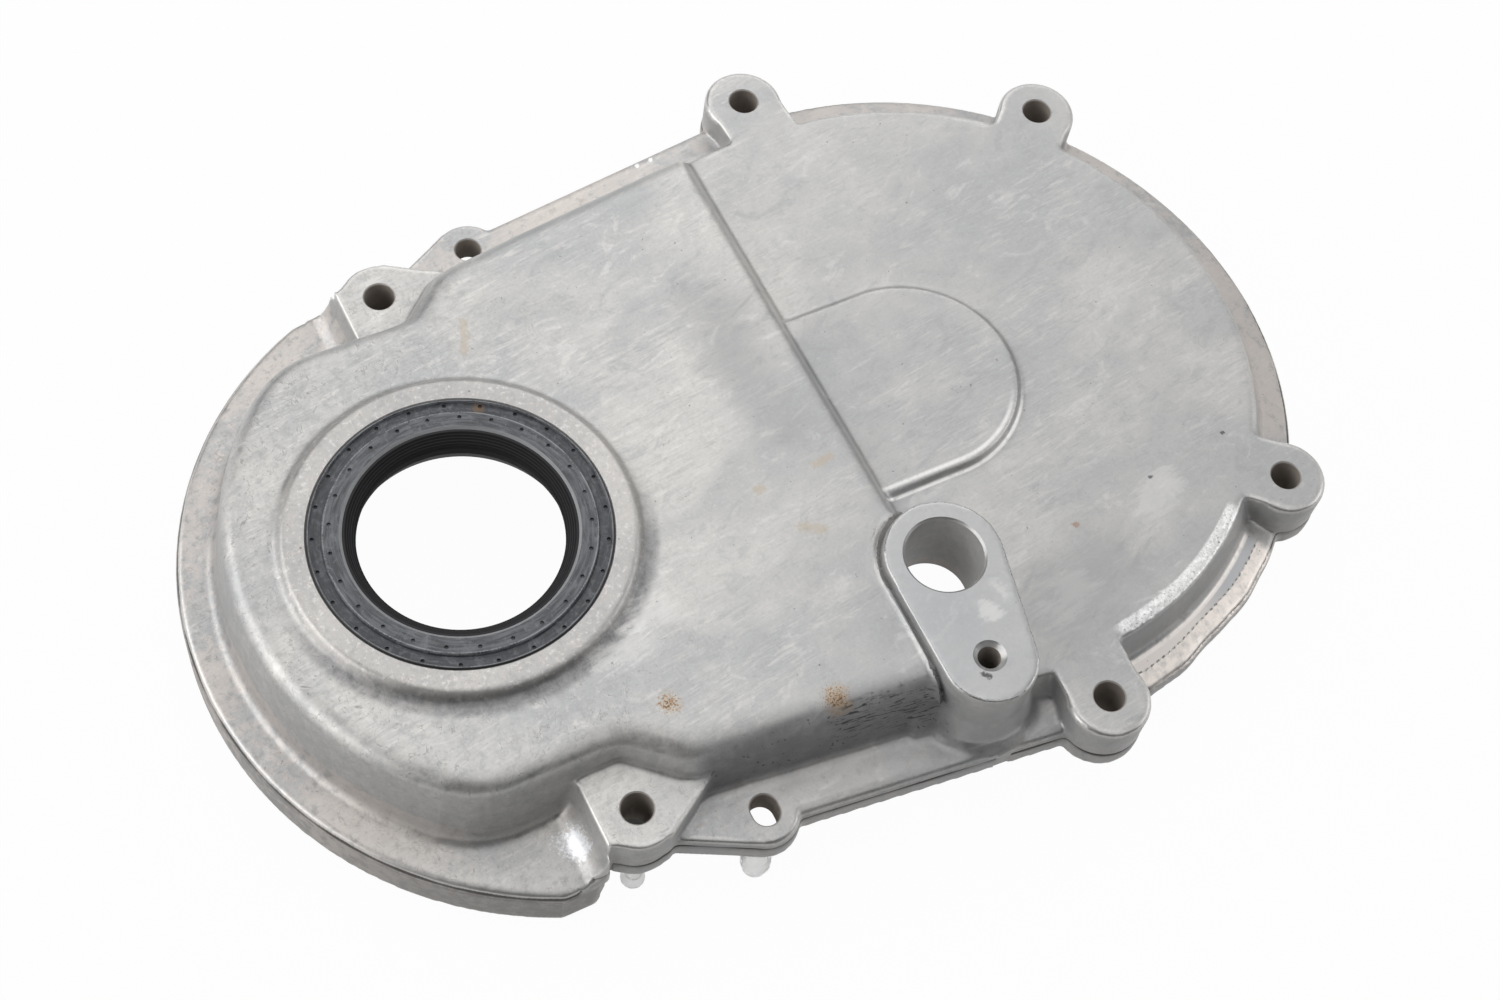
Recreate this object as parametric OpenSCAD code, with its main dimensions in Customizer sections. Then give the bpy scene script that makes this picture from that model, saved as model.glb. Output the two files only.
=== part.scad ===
// Engine timing cover: a die-cast aluminium front cover with a pressed-in crank seal.
// Millimetres. The crank axis is Z at the origin, the cam axis lies up +Y, and the
// face that bolts to the engine is z = 0 with the outside of the cover toward +Z.

/* [Layout] */
// Distance from the crank axis to the cam axis
crank_to_cam = 114.8; // [112:0.1:118]
// Outer radius of the flange round the cam axis
cam_flange_r = 86.2; // [85:0.1:88]
// Angle that each straight side leans away from the centre line
side_angle = 6.7; // [6:0.1:7.4]
// Distance from the crank axis to the flange side, square to that side
side_half = 75; // [74:0.1:76]
// Width of the side flange outside the hollow body
ledge_w = 6.8; // [6:0.1:7.6]
// Radius of the arc that the oil pan seals on
pan_arc_r = 81.6; // [80.5:0.1:83]
// Height of that arc's centre above the crank axis
pan_arc_y = 22.7; // [22:0.1:24]
// Half width of the skirt behind that arc
skirt_half = 74.8; // [74:0.1:75.6]
// Half width of the flat top round the crank seal
crank_side = 51; // [50:0.1:52]
// Height above the crank axis where the raised crank side steps down
step_y = 84.4; // [83.4:0.1:85.4]
// Radius of the pad over the end of the camshaft
pad_r = 24.4; // [23.4:0.1:25.4]
// Width of the cam flange outside the cam-side plate
cam_ledge_w = 11.9; // [11:0.1:12.6]

/* [Heights] */
// Thickness of the side flange
flange_t = 7; // [6:0.1:8]
// Thickness of the flange at the oil pan arc
pan_flange_t = 2.6; // [2:0.1:3.4]
// Level of the bolt seats and the cam-side plate
seat_h = 14.3; // [13.2:0.1:15.4]
// Level of the raised crank side
crank_h = 22.5; // [21:0.1:24]
// How far the machined ring stands above the crank side
ring_rise = 2.3; // [1.4:0.1:3]
// How far the sensor boss stands above the crank side
sensor_rise = 3; // [1.5:0.1:4]
// How far the oil pan skirt reaches behind the mating face
skirt_drop = 9; // [7:0.1:11]
// How far the cam bearing pad stands above the plate
pad_rise = 1.7; // [1:0.1:2.4]

/* [Walls] */
// Thickness of the cast walls
wall_t = 4.2; // [3.4:0.1:4.8]
// Radius of the soft shoulder round the crank side
shoulder_r = 6.2; // [5:0.1:7]
// Radius of the fillet at the foot of the walls
foot_r = 2.4; // [1.8:0.1:3]
// Draft of the crank-side walls, degrees
draft = 11; // [8:0.5:13]
// Slope of the step between the crank side and the cam-side plate, degrees
step_draft = 28; // [24:1:32]

/* [Bolt holes] */
// Diameter of the six bolt holes
bolt_d = 6.8; // [6.4:0.1:7.4]
// Diameter of the round bolt seats
seat_d = 18.6; // [17.6:0.1:19.4]
// Sideways place of the bolts level with the cam axis
bolt_a_x = 86; // [85:0.1:87]
// Height of those bolts above the crank axis
bolt_a_y = 110.6; // [109.6:0.1:111.6]
// Sideways place of the two top bolts
bolt_b_x = 56; // [55:0.1:57]
// Height of the two top bolts above the crank axis
bolt_b_y = 176.2; // [175.2:0.1:177.2]
// Sideways place of the two bolts beside the crank
bolt_c_x = 67.2; // [66.6:0.1:67.8]
// Height of the two bolts beside the crank
bolt_c_y = 9.05; // [8.6:0.05:9.6]

/* [Dowels] */
// Diameter of the dowel hole and width of the dowel slot
dowel_d = 5.9; // [5.5:0.1:6.3]
// Extra length of the dowel slot
slot_extra = 1; // [0.6:0.1:1.4]
// Sideways place of the dowels
dowel_x = 76.1; // [75.6:0.1:76.6]
// Height of the dowels above the crank axis
dowel_y = 34.4; // [33.4:0.1:35.4]

/* [Sensor boss] */
// Diameter of the sensor bore
sensor_d = 17.2; // [16.4:0.1:17.8]
// Sideways place of the sensor bore
sensor_x = 46.5; // [45.8:0.1:47.2]
// Height of the sensor bore above the crank axis
sensor_y = 90.2; // [89.6:0.1:90.8]
// Core diameter of the tapped hole beside the bore
tap_d = 5; // [4.4:0.1:5.6]
// Sideways place of the tapped hole
tap_x = 71; // [70.5:0.1:71.5]
// Height of the tapped hole above the crank axis
tap_y = 87.2; // [86.7:0.1:87.7]
// Depth of the tapped hole
tap_depth = 16; // [13:0.5:18]

/* [Crank seal] */
// Outer diameter of the seal
seal_od = 63.7; // [62.7:0.1:64.7]
// Length of the seal along the shaft
seal_w = 12; // [11:0.1:13]
// Diameter of the crankshaft hub that the lip runs on
shaft_d = 43.4; // [42.6:0.1:44.2]
// Radial gap between the lip and the hub as drawn
lip_gap = 0.05; // [0.03:0.01:0.09]
// Thickness of the steel case
case_t = 0.9; // [0.7:0.1:1.1]
// Number of grooves in the running lip
lip_grooves = 8; // [6:1:9]

/* [Gasket and pins] */
// Width of the rear gasket
gasket_w = 3.4; // [3:0.1:3.8]
// Depth of its groove in the mating face
groove_depth = 2; // [1.6:0.1:2.4]
// Side clearance of the gasket in its groove
gasket_gap = 0.1; // [0.05:0.05:0.2]
// Diameter of the gasket pins' shanks
pin_shank_d = 2.2; // [1.8:0.1:2.4]
// Length of the collared pin behind the mating face
pin_a_l = 9.5; // [9:0.1:10.5]
// Length of the round pin behind the mating face
pin_b_l = 12.3; // [11:0.1:13.5]
// Depth of the blind holes that hold the pins
pin_depth = 4; // [3.2:0.1:4.6]

/* [Hidden] */
$fn = 96;
far = 260;
ring_top = crank_h + ring_rise;
ring_r = seal_od / 2 + 4.55;
sensor_top = crank_h + sensor_rise;
sensor_r = sensor_d / 2 + 4.6;
sensor_floor = 5;
tap_r = tap_d / 2 + 8.1;
seal_r = seal_od / 2;
seal_front = ring_top + 0.3;
seal_back = seal_front - seal_w;
seat_shoulder = 1.6;
lip_r = shaft_d / 2 + lip_gap;
lip_t = 2.7;
lip_l = 7.1;
lip_back = 0.5;
lip_end = 0.6;
lip_throat = 3.5;
lip_land = 1.2;
lip_slope = 0.9;
lip_groove = 0.14;
case_in_r = lip_r + lip_t + 0.95;
case_cover = 1.5;
foot_half = side_half - ledge_w;
crank_foot_in = 1.4;
crank_foot_half = foot_half - crank_foot_in;
lower_foot_r = foot_r + 1;
plate_roof = seat_h - wall_t;
crank_roof = crank_h - wall_t;
crank_arc_y = pan_arc_y - 3.1;
crank_arc_r = pan_arc_r - 18.4;
crank_corner_r = 16;
body_join_y = 40;
crank_corner = [crank_side - crank_corner_r,
    crank_arc_y - sqrt(pow(crank_arc_r - crank_corner_r, 2) - pow(crank_side - crank_corner_r, 2))];
crank_turns = [0, 11, 22, 33];
notch_angle = 42;
notch_edge = bolt_c_x * cos(notch_angle) - bolt_c_y * sin(notch_angle) - 5.3;
notch_corner_r = 4;
step_r = 2.2;
plate_edge_r = 1.4;
plate_foot_r = 2.6;
plate_draft = 22;
foot_sink = 0.05;
crank_foot = flange_t - foot_sink;
ear_r = 7.6;
ear_rise = 0.1;
cam_ledge_h = 6.2;
cam_edge_h = 3.6;
pad_drop = 5.4;
pad_y = crank_to_cam - pad_drop;
gasket_land = 1.4;
pin_a_side = 5.6;
pin_a_drop = 2.25;
pin_b_wall = 0.25;
pin_b_drop = 3;
pin_a = [bolt_c_x + pin_a_side, bolt_c_y - pin_a_drop];
pin_b = [dowel_x + slot_extra / 2 + dowel_d / 2 + pin_shank_d / 2 + pin_b_wall, dowel_y - pin_b_drop];

// Outline of a wall from its foot up over its rounded shoulder, as [distance out
// from the edge of the flat top, height].
function wall_run(top, foot, rs, rf, a) =
    rs * sin(90 - a) + rf * sin(90 - a)
    + (top - foot - (rs + rf) * (1 - cos(90 - a))) * tan(a);
function wall_line(top, foot, rs, rf, a, n = 4) =
    let (turn = 90 - a)
    let (run = wall_run(top, foot, rs, rf, a))
    concat(
        [for (i = [0 : n]) [run - rf * sin(i * turn / n), foot + rf * (1 - cos(i * turn / n))]],
        [for (i = [n : -1 : 0]) [rs * sin(i * turn / n), top - rs * (1 - cos(i * turn / n))]]
    );
function body_outline(edge, top, foot, rs, rf, a) =
    let (line = wall_line(top, foot, rs, rf, a))
    concat(
        [[-far, 0], [edge + line[0][0], 0]],
        [for (p = line) [edge + p[0], p[1]]],
        [[-far, top]]
    );

// Where two lines meet, each given by the angle of its normal and its distance out.
function meet(a1, u1, a2, u2) =
    [u1 * sin(a2) - u2 * sin(a1), u2 * cos(a1) - u1 * cos(a2)] / sin(a2 - a1);
// How far out a point lies along a normal at the given angle.
function reach_of(p, a) = p[0] * cos(a) + p[1] * sin(a);

// A long prism whose section lies in x and z, running along y.
module run_y(points) {
    translate([0, far, 0])
        rotate([90, 0, 0])
            linear_extrude(2 * far)
                polygon(points);
}

module both_sides() {
    children();
    mirror([1, 0, 0])
        children();
}

module between_y(y0, y1) {
    translate([-far, y0, -far / 2])
        cube([2 * far, y1 - y0, far]);
}

// Everything inside a long wall of the given section and inside its mirror image,
// each wall turned down from the x axis by the angle.
module between_walls(angle, points) {
    intersection() {
        rotate([0, 0, -angle])
            run_y(points);
        mirror([1, 0, 0])
            rotate([0, 0, -angle])
                run_y(points);
    }
}

// Raised body over the crank side, above the bolts beside the crank.
module crank_body_upper() {
    side = crank_foot_half - crank_run();
    notch = notch_edge - crank_run();
    middle = (side_angle + notch_angle) / 2;
    soft = meet(-side_angle, side - notch_corner_r, -notch_angle, notch - notch_corner_r);
    soft_edge = reach_of(soft, -middle) + notch_corner_r;
    step_run = wall_run(crank_h, seat_h - foot_sink, step_r, step_r, step_draft);
    intersection() {
        between_walls(side_angle, body_outline(side, crank_h, crank_foot, shoulder_r, foot_r, draft));
        between_walls(middle, body_outline(soft_edge, crank_h, crank_foot, shoulder_r, foot_r, draft));
        between_walls(notch_angle, body_outline(notch, crank_h, crank_foot, shoulder_r, foot_r, draft));
        rotate([0, 0, 90])
            run_y(body_outline(step_y, crank_h, seat_h - foot_sink, step_r, step_r, step_draft));
        between_y(2, step_y + step_run + 6);
    }
}

// Raised body round the crank seal, ending in the oil pan arc.
module crank_body_lower() {
    top = crank_h - foot_sink;
    rs = shoulder_r - 1.2;
    rf = lower_foot_r;
    a = draft - 3;
    arc_line = wall_line(top, pan_flange_t - foot_sink, rs + 0.3, rf + 0.2, a);
    intersection() {
        translate([0, crank_arc_y, 0])
            rotate_extrude()
                polygon(concat(
                    [[0, 0], [crank_arc_r + arc_line[0][0], 0]],
                    [for (p = arc_line) [crank_arc_r + p[0], p[1]]],
                    [[0, top]]
                ));
        intersection_for (turn = crank_turns) {
            edge = reach_of(crank_corner, -turn) + crank_corner_r;
            between_walls(turn, body_outline(edge, top, pan_flange_t - foot_sink, rs, rf, a));
        }
        between_y(-far / 2, body_join_y);
    }
}

// Flat plate and flange round the cam axis.
module cam_body() {
    rim = cam_flange_r - cam_ledge_w;
    line = wall_line(seat_h, cam_ledge_h, plate_edge_r, plate_foot_r, plate_draft);
    translate([0, crank_to_cam, 0])
        rotate_extrude()
            polygon(concat(
                [[0, 0], [cam_flange_r, 0], [cam_flange_r, cam_edge_h],
                    [cam_flange_r - 0.7, cam_edge_h + 1.1]],
                [for (p = line) [rim + p[0], p[1]]],
                [[0, seat_h]]
            ));
}

// The plate and its ledge between the step and the cam axis.
module side_bodies() {
    foot = flange_t - foot_sink;
    run = wall_run(seat_h, foot, plate_edge_r, plate_foot_r, plate_draft);
    edge = foot_half - run;
    intersection() {
        between_walls(side_angle,
            body_outline(edge, seat_h, foot, plate_edge_r, plate_foot_r, plate_draft));
        between_y(step_y - 14, crank_to_cam);
    }
    intersection() {
        between_walls(side_angle, [[-far, 0], [side_half, 0], [side_half, flange_t - 1.6],
            [side_half - 0.9, flange_t - 0.4], [side_half - 2.2, flange_t], [-far, flange_t]]);
        between_y(dowel_y - 11.5, crank_to_cam);
    }
}

// Skirt that the oil pan seals on, and the flange above it.
module pan_skirt() {
    in_r = pan_arc_r - 8;
    intersection() {
        translate([0, pan_arc_y, 0])
            rotate_extrude()
                polygon([[in_r, -skirt_drop], [pan_arc_r, -skirt_drop],
                    [pan_arc_r, pan_flange_t - 1.1], [pan_arc_r - 0.8, pan_flange_t - 0.2],
                    [pan_arc_r - 2.4, pan_flange_t], [in_r - 10, pan_flange_t],
                    [in_r - 10, 0], [in_r, 0]]);
        translate([0, 0, -far / 2])
            linear_extrude(far)
                polygon([[-skirt_half, -far], [skirt_half, -far], [skirt_half, -2.7],
                    [skirt_half - 2.6, 0.9], [2.6 - skirt_half, 0.9], [-skirt_half, -2.7]]);
    }
}

// Bolt seat beside the crank, with the scooped ramp that runs down to the pan arc.
module crank_bolt_seat() {
    cx = bolt_c_x;
    cy = bolt_c_y;
    web_start = [cx + 7.2, cy + 5.8];
    way = [dowel_x, dowel_y] - web_start;
    reach = ear_r - 0.06;
    turn = atan2(way[1], way[0]) - asin(reach / norm(way));
    touch = web_start + sqrt(pow(norm(way), 2) - pow(reach, 2)) * [cos(turn), sin(turn)];
    linear_extrude(seat_h)
        union() {
            translate([cx, cy])
                circle(d = seat_d - 1.2);
            polygon([[crank_side - 5, cy - 8.8], [cx + 4.6, cy - 8.8], [cx + 8.2, cy - 3],
                [cx + 8.2, cy + 4], [cx + 2.7, cy + 12.8], [cx - 0.7, cy + 18], [cx - 6, cy + 20],
                [crank_side - 5, cy + 6]]);
        }
    linear_extrude(flange_t - foot_sink)
        polygon([[cx - 3, cy - 6], [cx + 7, cy + 2], web_start, touch, [cx, dowel_y]]);
    intersection() {
        translate([cx - 13, cy - 8.7, 0])
            rotate([90, 0, 90])
                linear_extrude(20.2)
                    polygon([[0, 0], [0, seat_h], [-0.35, 10.6], [-1.3, 7.6], [-3.0, 5.0],
                        [-5.4, 3.3], [-9, pan_flange_t], [-9, 0]]);
        translate([0, pan_arc_y, -1])
            cylinder(r = pan_arc_r - 1.6, h = seat_h + 2);
    }
}

module dowel_ear() {
    translate([dowel_x, dowel_y, 0]) {
        cylinder(r = ear_r, h = flange_t - 0.8);
        cylinder(r = ear_r - 0.8, h = flange_t + ear_rise);
    }
}

// Round seat and the web that ties it to the cam-side plate.
module cam_bolt_seat(x, y) {
    turn = atan2(y - crank_to_cam, x);
    reach = norm([x, y - crank_to_cam]);
    web_start = cam_flange_r - cam_ledge_w - 14;
    translate([x, y, 0])
        cylinder(d = seat_d, h = seat_h - 0.7);
    translate([0, crank_to_cam, 0])
        rotate([0, 0, turn])
            linear_extrude(seat_h)
                union() {
                    translate([reach, 0])
                        circle(d = seat_d - 1.2);
                    translate([web_start, -seat_d / 2 + 0.75])
                        square([reach - web_start, seat_d - 1.5]);
                }
}

// Pad over the end of the camshaft.
module cam_pad() {
    flare = 1.6;
    translate([0, pad_y, seat_h - 1])
        cylinder(r1 = pad_r + flare, r2 = pad_r, h = pad_rise + 1);
    translate([0, pad_y, seat_h - 1])
        rotate([90, 0, 0])
            linear_extrude(pad_y - step_y)
                polygon([[-pad_r - flare + 0.1, 0], [pad_r + flare - 0.1, 0],
                    [pad_r - 0.1, pad_rise + 1], [0.1 - pad_r, pad_rise + 1]]);
}

// Boss that carries the sensor and its tapped hole.
module sensor_boss() {
    dx = tap_x - sensor_x;
    dy = tap_y - sensor_y;
    lean = atan2(dy, dx);
    gap = norm([dx, dy]);
    flare = asin((sensor_r - tap_r) / gap);
    r0 = sensor_r - 0.05;
    r1 = tap_r - 0.05;
    translate([sensor_x, sensor_y, sensor_floor])
        rotate([0, 0, lean])
            linear_extrude(sensor_top - sensor_floor)
                union() {
                    circle(r = sensor_r);
                    translate([gap, 0])
                        circle(r = tap_r);
                    polygon([
                        [r0 * sin(flare), r0 * cos(flare)],
                        [gap + r1 * sin(flare), r1 * cos(flare)],
                        [gap + r1 * sin(flare), -r1 * cos(flare)],
                        [r0 * sin(flare), -r0 * cos(flare)]
                    ]);
                }
    translate([tap_x, tap_y, 0]) {
        cylinder(r = tap_r + 0.4, h = sensor_floor + 1);
        translate([0, 0, flange_t - 1])
            cylinder(r1 = tap_r + 4.6, r2 = tap_r + 1.4, h = 3.2);
        translate([0, 0, flange_t])
            cylinder(r1 = tap_r + 2.2, r2 = tap_r - 0.1, h = 7.5);
    }
}

// Low ring that is machined square to the crank axis.
module seal_ring() {
    rotate_extrude()
        polygon([[seal_r - 4, crank_h - 2], [ring_r + 3.9, crank_h - 2], [ring_r + 3.9, crank_h - 0.3],
            [ring_r + 1.7, crank_h + 0.5], [ring_r + 0.9, ring_top - 0.7],
            [ring_r, ring_top], [seal_r - 4, ring_top]]);
}

// Plan of what lies inside a line and its mirror image, each turned down by the angle.
module plan_between(angle, edge) {
    intersection() {
        rotate(-angle)
            translate([-far, -far])
                square([far + edge, 2 * far]);
        mirror([1, 0])
            rotate(-angle)
                translate([-far, -far])
                    square([far + edge, 2 * far]);
    }
}

module plan_y(y0, y1) {
    translate([-far, y0])
        square([2 * far, y1 - y0]);
}

// Hollow inside of the casting, which follows the outside walls.
function crank_run() = wall_run(crank_h, crank_foot, shoulder_r, foot_r, draft);
function inner_edge(foot_edge) = foot_edge - crank_run() + shoulder_r - wall_t + 0.2;

module side_plan(end_y) {
    intersection() {
        plan_between(side_angle, inner_edge(crank_foot_half));
        plan_between(notch_angle, inner_edge(notch_edge));
        plan_y(2, end_y);
    }
}

module hollow() {
    cam_r = cam_flange_r - cam_ledge_w - 3.4;
    translate([0, 0, -1])
        linear_extrude(plate_roof + 1)
            union() {
                translate([0, crank_to_cam])
                    circle(r = cam_r);
                side_plan(crank_to_cam);
            }
    translate([0, 0, -1])
        linear_extrude(crank_roof + 1)
            union() {
                side_plan(step_y - wall_t + 1.2);
                intersection() {
                    translate([0, crank_arc_y])
                        circle(r = crank_arc_r + 1.2);
                    intersection_for (turn = crank_turns)
                        plan_between(turn, reach_of(crank_corner, -turn) + crank_corner_r + 0.6);
                    plan_y(-far, 30);
                }
            }
}

// Tube round the seal and post round the sensor bore, left standing in the hollow.
module inside_posts() {
    translate([0, 0, seal_back - 1.4])
        cylinder(r = seal_r + 5.4, h = crank_h - seal_back);
    translate([sensor_x, sensor_y, sensor_floor])
        cylinder(r = sensor_r - 0.6, h = seat_h - sensor_floor);
}

// Band that the rear gasket follows, seen from the front, widened by a clearance.
module gasket_path(grow) {
    half = gasket_w / 2 + grow;
    difference() {
        gasket_shape(half);
        gasket_shape(-half);
        translate([-far, -far - 3 - grow])
            square([2 * far, far]);
    }
}

// Everything inside the gasket's middle line, moved out by the given amount.
module gasket_shape(out) {
    side = inner_edge(foot_half) + gasket_land + gasket_gap + gasket_w / 2 + out;
    cam_r = side + crank_to_cam * sin(side_angle);
    low = crank_side + 7.2 + out;
    bend = bolt_c_y + 10.4 + out * 0.4;
    side_x = (side + (bend + 10) * sin(side_angle)) / cos(side_angle);
    top = [(cam_r - 0.05) * cos(side_angle), crank_to_cam - (cam_r - 0.05) * sin(side_angle)];
    union() {
        translate([0, crank_to_cam])
            circle(r = cam_r);
        polygon([[-low, -far / 4], [low, -far / 4], [low, bend], [side_x - 0.05, bend + 10],
            top, [-top[0], top[1]], [0.05 - side_x, bend + 10], [-low, bend]]);
    }
}

module casting_holes() {
    both_sides() {
        translate([bolt_a_x, bolt_a_y, -1])
            cylinder(d = bolt_d, h = seat_h + 2);
        translate([bolt_b_x, bolt_b_y, -1])
            cylinder(d = bolt_d, h = seat_h + 2);
        translate([bolt_c_x, bolt_c_y, -1])
            cylinder(d = bolt_d, h = seat_h + 2);
    }
    translate([-dowel_x, dowel_y, -1])
        cylinder(d = dowel_d, h = flange_t + 14);
    translate([dowel_x, dowel_y, -1]) {
        translate([-slot_extra / 2, 0, 0])
            cylinder(d = dowel_d, h = flange_t + 14);
        translate([slot_extra / 2, 0, 0])
            cylinder(d = dowel_d, h = flange_t + 14);
        translate([-slot_extra / 2, -dowel_d / 2 + 0.02, 0])
            cube([slot_extra, dowel_d - 0.04, flange_t + 14]);
    }
    translate([sensor_x, sensor_y, 0]) {
        cylinder(d = sensor_d, h = sensor_top + 1);
        translate([0, 0, sensor_top - 0.5])
            cylinder(d1 = sensor_d, d2 = sensor_d + 1.4, h = 0.7);
    }
    translate([tap_x, tap_y, sensor_top - tap_depth]) {
        cylinder(d = tap_d, h = tap_depth + 1);
        translate([0, 0, tap_depth - 0.9])
            cylinder(d1 = tap_d, d2 = tap_d + 2.2, h = 1.1);
    }
    translate([0, 0, seal_back])
        cylinder(r = seal_r, h = seal_w + 2);
    translate([0, 0, seal_back - 3])
        cylinder(r = seal_r - seat_shoulder, h = 4);
    for (place = [pin_a, pin_b]) {
        translate([place[0], place[1], -1])
            cylinder(d = pin_shank_d, h = pin_depth + 1);
    }
}

module cover_casting() {
    color([0.70, 0.71, 0.71])
        difference() {
            union() {
                difference() {
                    union() {
                        cam_body();
                        side_bodies();
                        crank_body_upper();
                        crank_body_lower();
                        pan_skirt();
                        both_sides() {
                            crank_bolt_seat();
                            dowel_ear();
                            cam_bolt_seat(bolt_a_x, bolt_a_y);
                            cam_bolt_seat(bolt_b_x, bolt_b_y);
                        }
                        cam_pad();
                        seal_ring();
                    }
                    hollow();
                }
                inside_posts();
                sensor_boss();
            }
            casting_holes();
            translate([0, 0, -1])
                linear_extrude(groove_depth + 1)
                    gasket_path(gasket_gap);
        }
}

// Pressed steel shell of the seal, an angle section.
module seal_case() {
    color([0.20, 0.21, 0.23])
        rotate_extrude()
            polygon([[case_in_r, seal_back], [seal_r, seal_back], [seal_r, seal_front - case_cover],
                [seal_r - case_t, seal_front - case_cover], [seal_r - case_t, seal_back + case_t],
                [case_in_r, seal_back + case_t]]);
}

// Rubber moulded into the shell and over its rim, with a sunk ring round its front face.
module seal_rubber() {
    r_in = lip_r + lip_t;
    face_in = r_in + 0.55;
    face_out = seal_r - 3.35;
    sunk = 0.9;
    dimples = 25;
    dimple_turn = 13.5;
    outer_turn = 5.2;
    pit_d = 0.9;
    pit_depth = 0.5;
    color([0.13, 0.14, 0.16])
        difference() {
            rotate_extrude()
                polygon([[case_in_r, seal_back], [case_in_r, seal_back + case_t],
                    [seal_r - case_t, seal_back + case_t], [seal_r - case_t, seal_front - case_cover],
                    [seal_r, seal_front - case_cover], [seal_r, seal_front - 0.4],
                    [seal_r - 0.2, seal_front - 0.1], [seal_r - 0.5, seal_front - 0.1],
                    [seal_r - 0.7, seal_front - sunk], [face_out + 0.4, seal_front - sunk],
                    [face_out, seal_front], [face_in, seal_front], [r_in, seal_front - 0.5],
                    [r_in, seal_back]]);
            for (i = [0 : dimples - 1]) {
                rotate([0, 0, 360 * i / dimples + dimple_turn])
                    translate([face_out - 1.3, 0, seal_front - pit_depth])
                        cylinder(d = pit_d, h = 1, $fn = 24);
                rotate([0, 0, 360 * i / dimples + outer_turn])
                    translate([seal_r - 1.25, 0, seal_front - sunk - pit_depth])
                        cylinder(d = pit_d, h = 1, $fn = 24);
            }
        }
}

// Running lip bonded inside the rubber: a short land on the hub, a grooved cone in front
// of it and a flare behind it.
module seal_lip() {
    r_out = lip_r + lip_t;
    flare = lip_t / 3;
    z1 = seal_front - lip_back;
    z0 = z1 - lip_l;
    land = z0 + lip_throat;
    cone = land + lip_land;
    pitch = (z1 - lip_end - cone) / lip_grooves;
    color([0.05, 0.05, 0.05])
        rotate_extrude()
            polygon(concat(
                [[r_out, z0], [r_out, z1], [r_out - 0.5, z1]],
                [for (i = [lip_grooves - 1 : -1 : 0])
                    for (k = [2 : -1 : 0])
                        let (rise = (i + k / 3 + 0.16) * pitch)
                        [lip_r + rise * lip_slope + (k == 1 ? lip_groove : 0), cone + rise]],
                [[lip_r, cone], [lip_r, land], [lip_r + flare, z0]]
            ));
}

// Moulded gasket in the groove of the mating face.
module rear_gasket() {
    color([0.12, 0.12, 0.13])
        linear_extrude(groove_depth)
            gasket_path(0);
}

// Nylon pin with a stem, a collar, a waist and a rounded head.
module collared_pin() {
    shank_r = pin_shank_d / 2;
    stem_r = 1.85;
    waist_r = 1.1;
    waist_z = 2.2 - pin_a_l;
    waist_l = 0.8;
    head_r = 2.6;
    head_z = 1 - pin_a_l;
    head_t = 0.5;
    tip_r = 1.6;
    edge = 0.6;
    color([0.92, 0.92, 0.90])
        translate([pin_a[0], pin_a[1], 0])
            rotate_extrude()
                polygon([[0, pin_depth], [shank_r, pin_depth], [shank_r, 0], [stem_r, 0],
                    [stem_r, waist_z + waist_l + edge], [waist_r, waist_z + waist_l],
                    [waist_r, waist_z], [head_r, head_z], [head_r, head_z - head_t],
                    [tip_r, -pin_a_l], [0, -pin_a_l]]);
}

// Nylon pin with a stem, a collar and a round nose.
module round_pin() {
    shank_r = pin_shank_d / 2;
    stem_r = 2.2;
    collar_r = 3.25;
    collar_z = 6 - pin_b_l;
    collar_t = 1.4;
    nose_r = 2.9;
    nose_z = 4 - pin_b_l;
    nose_l = 1.8;
    edge = 0.5;
    color([0.92, 0.92, 0.90])
        translate([pin_b[0], pin_b[1], 0])
            rotate_extrude()
                polygon([[0, pin_depth], [shank_r, pin_depth], [shank_r, 0], [stem_r, 0],
                    [stem_r, collar_z + edge], [collar_r, collar_z], [collar_r, collar_z - collar_t],
                    [nose_r, nose_z], [0.93 * nose_r, nose_z - nose_l],
                    [0.76 * nose_r, 0.23 * nose_z - 0.77 * pin_b_l],
                    [0.4 * nose_r, 0.04 * nose_z - 0.96 * pin_b_l], [0, -pin_b_l]]);
}

cover_casting();
seal_case();
seal_rubber();
seal_lip();
rear_gasket();
collared_pin();
round_pin();
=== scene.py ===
import math

import bmesh
import bpy
import numpy as np
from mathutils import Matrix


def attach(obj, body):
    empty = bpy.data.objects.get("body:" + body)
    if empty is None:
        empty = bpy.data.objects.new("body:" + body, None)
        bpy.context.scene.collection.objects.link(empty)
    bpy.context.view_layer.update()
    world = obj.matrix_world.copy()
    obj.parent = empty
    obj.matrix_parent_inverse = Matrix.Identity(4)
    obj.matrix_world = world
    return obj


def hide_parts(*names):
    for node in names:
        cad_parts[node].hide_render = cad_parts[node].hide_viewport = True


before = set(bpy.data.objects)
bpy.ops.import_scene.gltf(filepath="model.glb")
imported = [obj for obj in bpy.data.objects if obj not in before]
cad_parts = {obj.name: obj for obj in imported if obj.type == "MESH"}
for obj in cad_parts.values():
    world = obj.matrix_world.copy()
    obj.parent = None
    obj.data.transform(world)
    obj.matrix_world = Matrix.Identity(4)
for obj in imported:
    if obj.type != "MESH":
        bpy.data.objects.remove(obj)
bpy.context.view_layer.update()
scene = bpy.context.scene
scene.view_settings.view_transform = "Standard"


# The cover itself: one aluminium die casting with soft shoulders, cast fillets in its inner
# corners and lightly broken edges. Its bolt holes, dowel holes, sensor bore, tapped hole and
# seal seat are drilled and bored afterwards, so their rims are sharp.

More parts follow.
